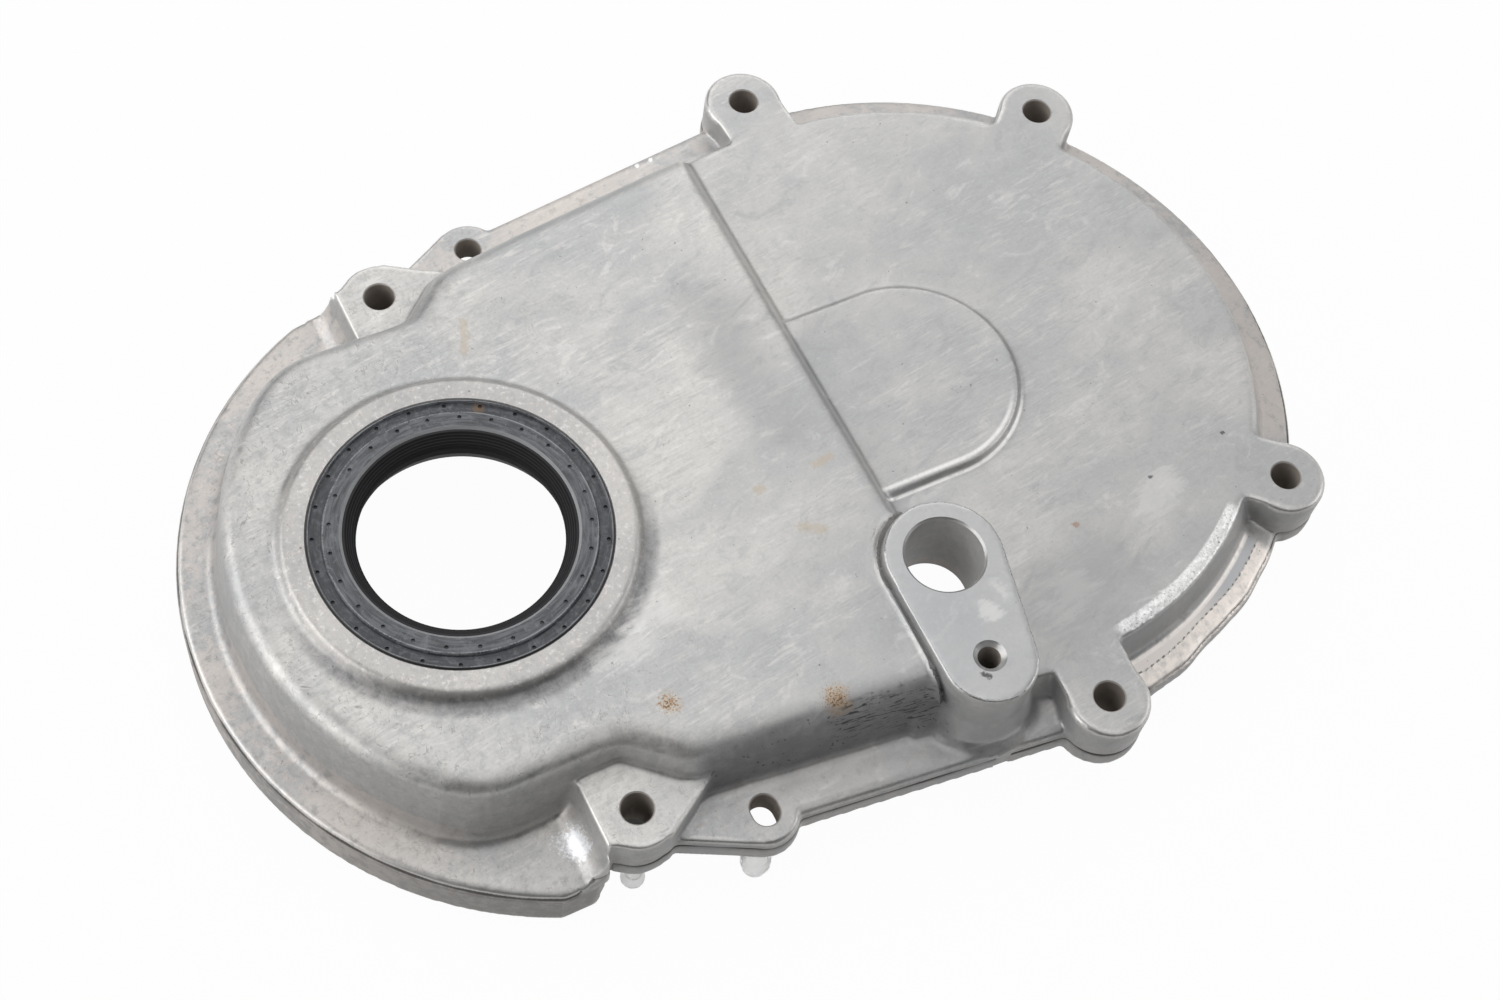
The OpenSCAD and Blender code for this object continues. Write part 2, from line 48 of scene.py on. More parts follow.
# Sizes and places in millimetres, in the frame of the solids.
CAM_Y = 114.8
PAN_ARC_Y = 22.7
PAN_ARC_R = 81.6
PAD_Y = 109.4
PAD_R = 24.4
EAR_TOP = 7.1
SEAT_TOP = 14.3
SEAT_TIP = (66.4, 27.2)
CRANK_TOP = 22.5
CRANK_BEND = (57.0, 22.0)
RING_TOP = 24.8
RING_FOOT_R = 40.5
SEAL_R = 31.85
SEAL_FLOOR = 13.1
SEAL_SHOULDER_R = 30.25
BOSS_TOP = 25.5
BOSS_FLOOR = 5.0
BOSS_FILLET = 3.6
SENSOR = (46.5, 90.2)
SENSOR_R = 8.6
SENSOR_WALL = 4.6
TAPPED = (71.0, 87.2)
TAP_R = 2.5
TAP_WALL = 8.1
TAP_FLOOR = 9.5
BOLTS = [(side * x, y) for x, y in ((86.0, 110.6), (56.0, 176.2), (67.2, 9.05)) for side in (1, -1)]
BOLT_R = 3.4
DOWEL_SLOT = (76.1, 34.4)
DOWEL_HOLE = (-76.1, 34.4)
DOWEL_R = 2.95
SLOT_HALF = 0.5


def placed(name, data):
    """An object of the scene, from its mesh, lamp or camera."""
    thing = bpy.data.objects.new(name, data)
    scene.collection.objects.link(thing)
    return thing


def as_object(name, solid):
    mesh = bpy.data.meshes.new(name)
    solid.to_mesh(mesh)
    solid.free()
    return placed(name, mesh)


def worked(thing):
    """The mesh of an object after its modifiers."""
    return bpy.data.meshes.new_from_object(thing.evaluated_get(bpy.context.evaluated_depsgraph_get()))


def turned(solid, place, profile, aside=0.0, groove=None, around=96):
    """Adds a closed turned solid. The profile is (radius, height) from its lower end up."""
    rings = []
    for radius, height in profile:
        ring = []
        for k in range(around):
            turn = math.tau * (k + 0.5) / around
            r = radius + (groove(height, turn) if groove else 0)
            x = place[0] + math.copysign(aside, math.cos(turn)) + r * math.cos(turn)
            y = place[1] + r * math.sin(turn)
            ring.append(solid.verts.new((x / 1000, y / 1000, height / 1000)))
        rings.append(ring)
    for low, high in zip(rings, rings[1:]):
        for k in range(around):
            n = (k + 1) % around
            solid.faces.new((low[k], low[n], high[n], high[k]))
    solid.faces.new(rings[0][::-1])
    solid.faces.new(rings[-1])


# The blank: the casting before it is drilled, with its holes plugged, as one even mesh.
PLUG_WALL = 1.0
DOWEL_PLUG_WALL = 1.2
TAP_PLUG_WALL = 1.8
TAP_PLUG_DEPTH = 2.0
SEAL_PLUG_DEPTH = 1.4
VOXEL = 0.5

plugs = [(place, BOLT_R + PLUG_WALL, 0, SEAT_TOP) for place in BOLTS]
plugs += [(place, DOWEL_R + DOWEL_PLUG_WALL, 0, EAR_TOP) for place in (DOWEL_SLOT, DOWEL_HOLE)]
plugs += [(SENSOR, SENSOR_R + PLUG_WALL, BOSS_FLOOR, BOSS_TOP),
          (TAPPED, TAP_R + TAP_PLUG_WALL, TAP_FLOOR - TAP_PLUG_DEPTH, BOSS_TOP),
          ((0, 0), SEAL_R + PLUG_WALL, SEAL_FLOOR - SEAL_PLUG_DEPTH, RING_TOP)]
stock = bmesh.new()
stock.from_mesh(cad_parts["cover_casting"].data)
for place, radius, floor_z, top_z in plugs:
    turned(stock, place, [(radius, floor_z), (radius, top_z)])
blank = as_object("casting_blank", stock)
remesh = blank.modifiers.new("even_mesh", "REMESH")
remesh.mode = "VOXEL"
remesh.voxel_size = VOXEL / 1000
skin = worked(blank)
bpy.data.objects.remove(blank)


def read(items, key, width, kind):
    flat = np.empty(len(items) * width, kind)
    items.foreach_get(key, flat)
    return flat.reshape(-1, width)


def relaxed(values, ends, times):
    """Spreads a value, or each column of several, over neighbouring vertices."""
    count = len(values)
    one, two = ends[:, 0], ends[:, 1]
    near = np.bincount(one, minlength=count) + np.bincount(two, minlength=count)
    out = values.copy()
    for _ in range(times):
        for column in range(out.shape[1]):
            c = out[:, column]
            around = np.bincount(one, c[two], count) + np.bincount(two, c[one], count)
            out[:, column] = c + 0.5 * (around / near - c)
    return out


def ease(low, high, value):
    t = np.clip((value - low) / (high - low), 0, 1)
    return t * t * (3 - 2 * t)


def band(low, full, end, past, value):
    """Rises from low to full, and falls again from end to past."""
    return ease(low, full, value) * ease(past, end, value)


ends = read(skin.edges, "vertices", 2, np.int32)
body = read(skin.vertices, "co", 3, np.float32).astype(np.float64) * 1000
out_way = read(skin.vertex_normals, "vector", 3, np.float32).astype(np.float64)
x, y, z = body.T.copy()
wide_x = np.abs(x)
from_crank = np.hypot(x, y)
from_cam = np.hypot(x, y - CAM_Y)
from_pan = np.hypot(x, y - PAN_ARC_Y)

# Which points lie on the outside: those near the top of their own column or of one beside it.
COLUMN = 1.2
TOP_DEPTH = 0.8
FAR_DOWN = -1000.0
column = np.floor((body[:, :2] - body[:, :2].min(0)) / COLUMN).astype(int) + 1
tops = np.full(column.max(0) + 2, FAR_DOWN)
np.maximum.at(tops, (column[:, 0], column[:, 1]), z)
lowest = tops.copy()
for step_x in (-1, 0, 1):
    for step_y in (-1, 0, 1):
        lowest = np.minimum(lowest, np.roll(tops, (step_x, step_y), (0, 1)))
outside = z > lowest[column[:, 0], column[:, 1]] - TOP_DEPTH

# Edges break by a hair, inner corners fill to a small fillet, and the shoulders of the raised
# crank side run together in wide soft curves, widest at the two inner bends. A round fillet
# joins the sensor boss to that side, and the pointed tips of the crank seats stay crisp.
crisp = relaxed(body, ends, times=1)
broken = relaxed(crisp, ends, times=3)
filled = relaxed(broken, ends, times=5)
softer = relaxed(filled, ends, times=26)
softest = relaxed(softer, ends, times=90)


def stands(form):
    """How far a softened form stands out of the blank."""
    return ((form - body) * out_way).sum(1)


wide_shift = stands(softer)
boss_way = np.subtract(TAPPED, SENSOR)
boss_share = np.clip(((body[:, :2] - SENSOR) @ boss_way) / (boss_way @ boss_way), 0, 1)
from_boss = np.hypot(*(body[:, :2] - SENSOR - boss_share[:, None] * boss_way).T)
boss_r = SENSOR_R + SENSOR_WALL + (TAP_R + TAP_WALL - SENSOR_R - SENSOR_WALL) * boss_share
from_boss_wall = from_boss - boss_r
fillet_in = np.clip(BOSS_FILLET - from_boss_wall, 0, BOSS_FILLET)
boss_fillet = BOSS_FILLET - np.sqrt(BOSS_FILLET ** 2 - fillet_in ** 2)
boss_fillet *= (from_boss_wall > 0.3) * band(15.5, 17.5, 24.2, 24.6, z)
seat_tip = ease(8, 5, np.hypot(wide_x - SEAT_TIP[0], y - SEAT_TIP[1])) * ease(16.5, 15.2, z)
corner_lift = np.clip(stands(filled) - np.maximum(stands(broken), 0), 0, None)
corner_lift *= ease(0.8, 1.8, z) * (1 - seat_tip)
lift = np.maximum(corner_lift, boss_fillet) * outside
shaped = broken + (crisp - broken) * seat_tip[:, None] + out_way * lift[:, None]

above_seats = ease(15.4, 17.2, z)
off_ring = ease(RING_FOOT_R, RING_FOOT_R + 2, from_crank)
off_boss = ease(15.5, 18.5, from_boss)
shoulder = above_seats * off_ring * ease(92, 90, y) * off_boss * outside
bend = shoulder * ease(25, 13, np.hypot(wide_x - CRANK_BEND[0], y - CRANK_BEND[1]))
from_pad = np.hypot(x, np.maximum(y - PAD_Y, 0))
pad_edge = band(PAD_R - 5, PAD_R - 3, PAD_R + 4, PAD_R + 6, from_pad)
pad_edge *= ease(14.0, 14.2, z) * ease(87, 90, y) * outside
boss_brow = ease(23.0, 23.8, z) * ease(20, 18, from_boss) * outside
for form, share in ((softer, shoulder), (filled, pad_edge), (filled, boss_brow), (softest, bend)):
    shaped += (form - shaped) * share[:, None]

# The die's halves meet in a thin seam on the outer walls, the lower half a hair proud.
SEAM_Z = 4.2
PAN_SEAM_Z = 1.3
SEAM_WIDE = 0.42
SEAM_DEPTH = 0.36
SEAM_PROUD = 0.26
SIDE_RIM_X = 66.5
CAM_RIM_R = 80.0
PAN_RIM_R = 79.0
upright = ease(0.85, 0.55, np.abs(out_way[:, 2])) * outside
rim = np.where(y > 60, from_cam - CAM_RIM_R, np.where(y < 4, from_pan - PAN_RIM_R, -9))
rim = np.maximum(rim, wide_x - SIDE_RIM_X)
pan_share = ease(6, 1, y) * ease(PAN_ARC_R - 2, PAN_ARC_R - 1, from_pan)
seam_z = SEAM_Z + (PAN_SEAM_Z - SEAM_Z) * pan_share
on_rim = upright * ease(0, 1, rim)
uneven = 0.75 + 0.25 * np.sin(0.31 * x) * np.cos(0.27 * y)
seam = on_rim * np.exp(-((z - seam_z) / SEAM_WIDE) ** 2) * uneven
proud = on_rim * ease(seam_z + 0.3, seam_z - 0.3, z)
shaped += out_way * (SEAM_PROUD * proud - SEAM_DEPTH * seam)[:, None]

# Chips along the edge of the cam-side plate, where the flash was broken off, and the uneven
# rim of the ledge below it, cut back most where the trimming tool dipped.
CHIP_DEPTH = 0.3
RIM_DIP = 0.9
RIM_DIP_TURN = 20.5
RIM_DIP_WIDE = 5.0
RIM_WAVE = 0.1
chance = np.random.default_rng(7).random(len(body))
chip = relaxed((chance > 0.8).astype(float)[:, None], ends, times=1)[:, 0]
turn = np.degrees(np.arctan2(y - CAM_Y, x))
chipped = band(71.6, 72.8, 74.8, 75.6, from_cam) * band(2, 7, 36, 41, turn)
chipped *= ease(11.5, 13.2, z) * outside
shaped -= out_way * (CHIP_DEPTH * chip * chipped)[:, None]
trimmed = RIM_DIP * np.exp(-((turn - RIM_DIP_TURN) / RIM_DIP_WIDE) ** 2) + RIM_WAVE * np.sin(0.8 * turn)
trimmed *= band(4, 8, 37, 41, turn) * ease(83.0, 85.0, from_cam) * ease(7.6, 6.8, z)
shaped[:, 0] -= trimmed * x / np.maximum(from_cam, 1)
shaped[:, 1] -= trimmed * (y - CAM_Y) / np.maximum(from_cam, 1)

corner = relaxed(np.clip(wide_shift, 0, 2)[:, None], ends, times=3)[:, 0] * outside
edge = relaxed(np.clip(-wide_shift, 0, 2)[:, None], ends, times=2)[:, 0] * outside
skin.vertices.foreach_set("co", (shaped / 1000).astype(np.float32).ravel())
for name, values in (("corner", corner), ("edge", edge), ("seam", seam), ("chipped", chipped)):
    layer = skin.attributes.new(name, "FLOAT", "POINT")
    layer.data.foreach_set("value", values.astype(np.float32))
casting = placed("casting", skin)

# Fewer faces on the inside and where the outside is plain, and then a little fewer all over.
INSIDE_FACES = 24000
MOST_FACES = 172000
plain = outside & (np.abs(wide_shift) < 0.05) & (corner + edge < 0.06) & (seam + chipped < 0.03)
quads = read(skin.loops, "vertex_index", 1, np.int32).reshape(-1, 4)
all_faces = 2 * len(quads)
left_faces = all_faces - 2 * int((~outside)[quads].all(1).sum()) + INSIDE_FACES
for name, chosen, share in (("inside", ~outside, left_faces / all_faces),
                            ("plain", plain, min(1, MOST_FACES / left_faces))):
    casting.vertex_groups.new(name=name).add(np.flatnonzero(chosen).tolist(), 1.0, "REPLACE")
    thin = casting.modifiers.new("thin_" + name, "DECIMATE")
    thin.vertex_group = name
    thin.ratio = share
casting.data = worked(casting)
casting.modifiers.clear()
thin = casting.modifiers.new("thin_all", "DECIMATE")
thin.ratio = min(1, MOST_FACES / (len(casting.data.loops) - 2 * len(casting.data.polygons)))

# Drills and borers, as one tool that is taken away from the blank.
RIM_BEVEL = 0.3
SENSOR_BEVEL = 0.5
DRILL_PAST = 1.0
BORER_PAST = 6.0
THREAD_PITCH = 1.0
THREAD_DEPTH = 0.5
THREAD_ROWS = 6
THREAD_TOP = BOSS_TOP - 1.0
TAP_CHAMFER = [(TAP_R, BOSS_TOP - 0.95), (TAP_R + 1.1, BOSS_TOP), (TAP_R + 1.6, BOSS_TOP + 0.5)]
SHARP_ANGLE = 38


def hole_profile(radius, floor_z, top_z, bevel):
    """The profile of a drill that also bevels the rim of its hole."""
    rim_rows = [(radius, top_z - bevel), (radius + bevel, top_z), (radius + 2 * bevel, top_z + bevel)]
    return [(radius, floor_z)] + rim_rows


def thread(height, turn):
    """Depth of the tapped thread at a height, where it runs out below the chamfer."""
    share = (height / THREAD_PITCH - turn / math.tau) % 1
    return THREAD_DEPTH * (1 - abs(2 * share - 1)) * float(height < THREAD_TOP)


drills = bmesh.new()
for place in BOLTS:
    turned(drills, place, hole_profile(BOLT_R, -DRILL_PAST, SEAT_TOP, RIM_BEVEL))
turned(drills, DOWEL_HOLE, hole_profile(DOWEL_R, -DRILL_PAST, EAR_TOP, RIM_BEVEL))
turned(drills, DOWEL_SLOT, hole_profile(DOWEL_R, -DRILL_PAST, EAR_TOP, RIM_BEVEL), SLOT_HALF)
turned(drills, SENSOR, hole_profile(SENSOR_R, BOSS_FLOOR - BORER_PAST, BOSS_TOP, SENSOR_BEVEL))
thread_count = int(THREAD_ROWS * (THREAD_TOP - TAP_FLOOR) / THREAD_PITCH) + 1
thread_rows = [(TAP_R, TAP_FLOOR + THREAD_PITCH * k / THREAD_ROWS) for k in range(thread_count)]
turned(drills, TAPPED, thread_rows + TAP_CHAMFER, groove=thread, around=64)
shoulder_rows = [(SEAL_SHOULDER_R, SEAL_FLOOR - BORER_PAST), (SEAL_SHOULDER_R, SEAL_FLOOR)]
turned(drills, (0, 0), shoulder_rows + hole_profile(SEAL_R, SEAL_FLOOR, RING_TOP, RIM_BEVEL), around=192)
drill = as_object("drills", drills)
cut = casting.modifiers.new("drilled", "BOOLEAN")
cut.object = drill
cut.operation = "DIFFERENCE"
cut.solver = "MANIFOLD"
drilled = worked(casting)
bpy.data.objects.remove(drill)
casting.modifiers.clear()
casting.data = drilled
drilled.shade_smooth()
drilled.set_sharp_from_angle(angle=math.radians(SHARP_ANGLE))
even = casting.modifiers.new("even_normals", "WEIGHTED_NORMAL")
even.keep_sharp = True

# The walls of the narrow holes, which hold dark oil stain and are also painted darker as shade.
narrow = [(place, BOLT_R, SEAT_TOP) for place in BOLTS]
narrow += [(DOWEL_HOLE, DOWEL_R, EAR_TOP), (DOWEL_SLOT, DOWEL_R + SLOT_HALF, EAR_TOP),
           (TAPPED, TAP_R + THREAD_DEPTH, BOSS_TOP - 0.85)]
points = read(drilled.vertices, "co", 3, np.float32) * 1000
in_bore = np.zeros(len(points), np.float32)
for place, radius, top_z in narrow:
    far = np.hypot(points[:, 0] - place[0], points[:, 1] - place[1])
    in_bore[(far < radius + 0.05) & (points[:, 2] < top_z - 0.2)] = 1
drilled.attributes.new("bore", "FLOAT", "POINT").data.foreach_set("value", in_bore)


class Sum:
    """A socket of a material. Sums written on it add the Math nodes that they need."""

    def __init__(self, finish, socket):
        self.finish = finish
        self.socket = socket

    def math(self, operation, first, second):
        return self.finish.node("ShaderNodeMath", {"operation": operation}, {0: first, 1: second})

    def __add__(self, other):
        return self.math("ADD", self, other)

    def __sub__(self, other):
        return self.math("SUBTRACT", self, other)

    def __rsub__(self, other):
        return self.math("SUBTRACT", other, self)

    def __mul__(self, other):
        return self.math("MULTIPLY", self, other)

    def __truediv__(self, other):
        return self.math("DIVIDE", self, other)

    def __rtruediv__(self, other):
        return self.math("DIVIDE", other, self)

    def __pow__(self, other):
        return self.math("POWER", self, other)

    __radd__ = __add__
    __rmul__ = __mul__


class Finish:
    """A node material with its Principled shader and its surface in millimetres."""

    def __init__(self, name, **settings):
        self.material = bpy.data.materials.new(name)
        self.material.use_nodes = True
        self.tree = self.material.node_tree
        self.shader = self.tree.nodes["Principled BSDF"]
        self.tone = None
        self.use(**settings)
        metres = self.node("ShaderNodeTexCoord", {}, {}, "Object")
        self.place = self.node("ShaderNodeVectorMath", {"operation": "SCALE"}, {0: metres, 3: 1000.0})
        self.x = self.node("ShaderNodeSeparateXYZ", {}, {0: self.place}, 0)
        self.y = Sum(self, self.x.socket.node.outputs[1])
        self.z = Sum(self, self.x.socket.node.outputs[2])

    def set(self, socket, value):
        if isinstance(value, Sum):
            self.tree.links.new(value.socket, socket)
        elif socket.type == "RGBA" and len(value) == 3:
            socket.default_value = (*value, 1)
        else:
            socket.default_value = value

    def use(self, **inputs):
        for socket, value in inputs.items():
            self.set(self.shader.inputs[socket.replace("_", " ")], value)

    def node(self, kind, settings, inputs, output=0):
        made = self.tree.nodes.new(kind)
        for name, value in settings.items():
            setattr(made, name, value)
        for name, value in inputs.items():
            self.set(made.inputs[name], value)
        return Sum(self, made.outputs[output])

    def mark(self, name):
        """A value that the mesh itself carries."""
        return self.node("ShaderNodeAttribute", {"attribute_name": name}, {}, "Fac")

    def noise(self, scale, detail=3.0, rough=0.5, place=None, bend=0.0):
        return self.node("ShaderNodeTexNoise", {}, {"Vector": place or self.place, "Scale": scale,
                         "Detail": detail, "Roughness": rough, "Distortion": bend})

    def fit(self, value, low, high, start=0.0, end=1.0):
        return self.node("ShaderNodeMapRange", {"interpolation_type": "SMOOTHSTEP"},
                         {0: value, 1: low, 2: high, 3: start, 4: end})

    def band(self, value, low, full, end, past):
        """Rises from low to full, and falls again from end to past."""
        return self.fit(value, low, full) * self.fit(value, past, end)

    def line(self, value, wide, full):
        """One where a value is within full of nought, and nothing where it is past wide."""
        return self.fit(value.math("ABSOLUTE", value, 0), wide, full)

    def mix(self, share, one, two):
        return self.node("ShaderNodeMix", {"data_type": "RGBA"}, {0: share, 6: one, 7: two}, 2)

    def lay(self, share, colour):
        """Lays a colour over the tone of the finish."""
        self.tone = self.mix(share, self.tone, colour)

    def stretched(self, turn, size):
        """The surface with a grain of this size in millimetres, turned about the upright."""
        return self.node("ShaderNodeMapping", {"vector_type": "TEXTURE"},
                         {"Vector": self.place, "Scale": size, "Rotation": (0, 0, math.radians(turn))})

    def about(self, at):
        """Distance from an upright axis, and the angle about it in radians."""
        along, aside = self.y - at[1], self.x - at[0]
        return (along * along + aside * aside) ** 0.5, along.math("ARCTAN2", along, aside)

    def away(self, start, end=None):
        """Distance in millimetres from a point of the part, or from a line between two."""
        near = start
        if end is not None:
            way = np.subtract(end, start)
            from_start = self.node("ShaderNodeVectorMath", {"operation": "SUBTRACT"},
                                   {0: self.place, 1: start})
            share = self.node("ShaderNodeVectorMath", {"operation": "DOT_PRODUCT"},
                              {0: from_start, 1: tuple(way / (way @ way))}, "Value")
            share = self.node("ShaderNodeClamp", {}, {0: share})
            shares = self.node("ShaderNodeCombineXYZ", {}, {0: share, 1: share, 2: share})
            near = self.node("ShaderNodeVectorMath", {"operation": "MULTIPLY_ADD"},
                             {0: tuple(way), 1: shares, 2: start})
        return self.node("ShaderNodeVectorMath", {"operation": "DISTANCE"},
                         {0: self.place, 1: near}, "Value")

    def bump(self, height, strength, distance):
        self.use(Normal=self.node("ShaderNodeBump", {}, {"Height": height, "Strength": strength,
                                  "Distance": distance / 1000}))

    def dress(self, thing):
        thing.data.materials.clear()
        thing.data.materials.append(self.material)


metal = Finish("cast_aluminium", IOR=1.3)
facing = metal.node("ShaderNodeNewGeometry", {}, {}, "Normal")
up_way = metal.node("ShaderNodeSeparateXYZ", {}, {0: facing}, 2)
cam_way = Sum(metal, up_way.socket.node.outputs[1])
flat_top = metal.fit(up_way, 0.86, 0.98)
open_side = metal.fit(up_way, 0.38, 0.62)
to_cam = metal.fit(cam_way, 0.3, 0.6)
ring_far = metal.about((0, 0))[0]
ring = metal.fit(ring_far, 40.0, 38.5) * metal.fit(metal.z, 22.8, 23.4)
boss_top = metal.fit(metal.z, 25.15, 25.35)

# Tumbling leaves patches of short strokes along the cover over soft grey clouds. The crank end
# is more mottled and veined, and the seal's ring and the boss have small flakes.
clouds = metal.noise(0.03, 4, 0.6)
patches = metal.noise(0.045, 3, 0.5, metal.stretched(12, (0.8, 1.6, 1)), 0.6)
strokes = metal.noise(1.0, 4, 0.6, metal.stretched(9, (1.3, 9.0, 2.0)), 0.25)
hairs = metal.noise(1.0, 3, 0.6, metal.stretched(7, (0.34, 4.6, 0.6)), 0.2)
smears = metal.noise(0.13, 6, 0.66, metal.stretched(14, (0.8, 1.7, 1.0)), 1.4)
grain = metal.noise(1.5, 4, 0.75)
mottle = metal.noise(0.4, 5, 0.7)
flow = metal.noise(0.2, 4, 0.6, None, 0.8)
flakes = metal.noise(0.8, 5, 0.75)
veins = metal.line(flow - 0.5, 0.018, 0.0) * metal.fit(mottle, 0.42, 0.6)
veined = metal.fit(metal.y + (patches - 0.5) * 160, 60, -20, 0.12, 0.75)
crank_end = metal.fit(metal.y, 45, 5)
sensor_side_shade = metal.fit(metal.y + metal.x * 0.5, 40, 110)
rubbed = flat_top * metal.fit(patches, 0.4, 0.6, 0.25, 1.0) * (1 - 0.75 * ring) * (1 - 0.7 * boss_top)
metal.tone = metal.mix(metal.fit(clouds, 0.34, 0.66), (0.405, 0.408, 0.412), (0.535, 0.525, 0.507))
metal.lay(metal.fit(patches, 0.5, 0.3) * 0.5, (0.37, 0.374, 0.38))
metal.lay(metal.fit(smears, 0.46, 0.34) * 0.45, (0.34, 0.344, 0.352))
metal.lay(metal.fit(smears, 0.56, 0.68) * 0.45, (0.66, 0.65, 0.63))
metal.lay(metal.fit(strokes, 0.53, 0.68) * rubbed * 0.5, (0.67, 0.657, 0.63))
metal.lay(metal.fit(strokes, 0.46, 0.34) * rubbed * 0.32, (0.35, 0.35, 0.355))
metal.lay(metal.fit(hairs, 0.54, 0.72) * rubbed * 0.32, (0.68, 0.67, 0.65))
metal.lay(metal.fit(hairs, 0.46, 0.3) * rubbed * 0.32, (0.3, 0.3, 0.305))
metal.lay(metal.fit(mottle, 0.5, 0.36) * (0.24 + 0.26 * crank_end), (0.32, 0.315, 0.31))
metal.lay(metal.fit(mottle, 0.54, 0.68) * 0.35 * crank_end, (0.68, 0.66, 0.63))
metal.lay(veins * veined, (0.23, 0.225, 0.22))
metal.lay(metal.fit(grain, 0.5, 0.3) * 0.2, (0.28, 0.28, 0.28))
metal.lay(metal.fit(grain, 0.54, 0.72) * 0.2, (0.72, 0.715, 0.7))
metal.lay(ring * metal.fit(mottle, 0.35, 0.65, 0.15, 0.6), (0.45, 0.425, 0.402))
metal.lay(metal.fit(flakes, 0.55, 0.62) * (0.45 * ring + 0.25 * boss_top), (0.72, 0.71, 0.69))
metal.lay(metal.fit(flakes, 0.42, 0.34) * (0.3 * ring + 0.15 * boss_top), (0.33, 0.325, 0.32))
# The machined top of the boss is bluer, and it is also painted darker as shade.
metal.lay(boss_top * 0.55, (0.4, 0.408, 0.42))
# Painted shade: the flat tops are made darker toward the sensor side.
metal.lay(flat_top * sensor_side_shade * 0.3, (0.3, 0.3, 0.304))

# The walls stay dull and are painted darker as shade, less where they face the cam side, and darker still
# toward their foot; the long near one is painted dark as shade. The ledges have a tan cast from heat and
# oil.
wall = 1 - open_side
near_wall = (metal.fit(metal.x, 63.0, 66.0) * metal.band(metal.y, 21.0, 27.0, 76.0, 78.5)
             * metal.band(metal.z, 7.4, 8.4, 21.2, 22.3))
skirt_foot = metal.fit(metal.z, 1.6, 0.4)
low_down = metal.fit(metal.z, 9.0, 7.6)
heated = metal.fit(clouds + (mottle - 0.5) * 0.9, 0.38, 0.58) * metal.fit(metal.x, 62, 40, 0.3, 1.0)
# Painted shade: walls made darker, least where they face the cam side.
metal.lay(wall * metal.fit(mottle, 0.3, 0.7, 0.75, 0.45) * (1 - 0.8 * to_cam), (0.31, 0.307, 0.303))
metal.lay(wall * skirt_foot * metal.fit(mottle, 0.3, 0.7, 0.85, 0.6), (0.19, 0.178, 0.166))
# Painted shade: the long near wall is made dark.
metal.lay(near_wall * metal.fit(mottle + (smears - 0.5) * 0.8, 0.3, 0.75, 0.95, 0.7), (0.19, 0.19, 0.194))
metal.lay(low_down * heated * 0.42, (0.58, 0.51, 0.465))
metal.lay(low_down * metal.fit(mottle, 0.46, 0.3) * 0.35, (0.3, 0.26, 0.235))

# Inner corners are darker, partly grey grime and partly painted shade, less at the step and the boss, and
# the near foot of the seal's ring is painted dark as shade. Edges are lighter, partly from wear and partly
# as painted highlight, and the seam of the die is a dark line.
dirt_and_shade = metal.fit(metal.mark("corner") + (grain - 0.5) * 0.4, 0.3, 1.1)
at_step = metal.line(metal.y - 86, 6, 4) * metal.fit(metal.x, 40, 34)
at_boss = metal.fit(metal.z, 19, 21) * metal.fit(ring_far, 48, 52)
spared_crease = at_step.math("MAXIMUM", at_step, at_boss)
ring_foot_shade = metal.band(ring_far, 36.9, 38.3, 40.2, 42.2) * metal.fit(metal.x, -6, 24)
wear_and_highlight = metal.fit(metal.mark("edge") + (grain - 0.5) * 0.35, 0.16, 0.5)
boss_rim = metal.fit(metal.z, 23.2, 24.2)
# Inner corners darkened: grime, and painted shade.
metal.lay(dirt_and_shade * (0.5 - 0.4 * spared_crease), (0.12, 0.12, 0.128))
# Painted shade: a dark band at the near foot of the seal's ring.
metal.lay(ring_foot_shade * metal.fit(mottle, 0.3, 0.6, 0.75, 0.5), (0.13, 0.13, 0.135))
# Edges made lighter: wear, and painted highlight.
metal.lay(wear_and_highlight * 0.5 * (1 - near_wall) * (1 - 0.75 * boss_rim), (0.74, 0.725, 0.7))
metal.lay(metal.fit(metal.mark("seam"), 0.22, 0.7) * 0.9, (0.06, 0.055, 0.05))

# Painted highlights: bright lines along the pad's near edge, at its foot and its brow.
pad_along = metal.y.math("MAXIMUM", metal.y - PAD_Y, 0)
pad_far = (metal.x * metal.x + pad_along * pad_along) ** 0.5 - PAD_R
pad_highlight = (metal.fit(metal.x, 10, 19) * metal.fit(metal.y, 85.5, 87)
            * metal.band(metal.z, 13.6, 14.0, 16.5, 17) * metal.fit(mottle, 0.3, 0.5, 0.6, 1.0))
for line_at, wide, share in ((1.3, 0.6, 0.75), (-1.0, 0.9, 0.6)):
    metal.lay(metal.line(pad_far - line_at, wide, 0.1) * pad_highlight * share, (0.95, 0.94, 0.92))

# The trimmed ledge beside the cam axis: a bright band of heat tint outside a dotted trim line, the band and
# the strip inside the line also painted brighter as light that the plate's wall keeps off, a painted
# highlight along the wall's foot, and a burred strip along the edge of the plate above it.
TRIM_FROM = math.radians(3)
TRIM_TO = math.radians(39)
TRIM_SOFT = 0.03
TRIM_R = 82.3
TRIM_DIP = 1.1
TRIM_DIP_TURN = math.radians(20)
TRIM_DIP_WIDE = math.radians(7)
DOT_PITCH = 1.7
DOT_R = 82.0
FOOT_R = 79.4
cam_far, cam_turn = metal.about((0, CAM_Y))
on_ledge = (metal.band(cam_turn, TRIM_FROM, TRIM_FROM + TRIM_SOFT, TRIM_TO - TRIM_SOFT, TRIM_TO)
            * metal.fit(metal.z, 6.9, 6.5) * metal.fit(up_way, 0.6, 0.8))
dip_turn = (cam_turn - TRIM_DIP_TURN) / TRIM_DIP_WIDE
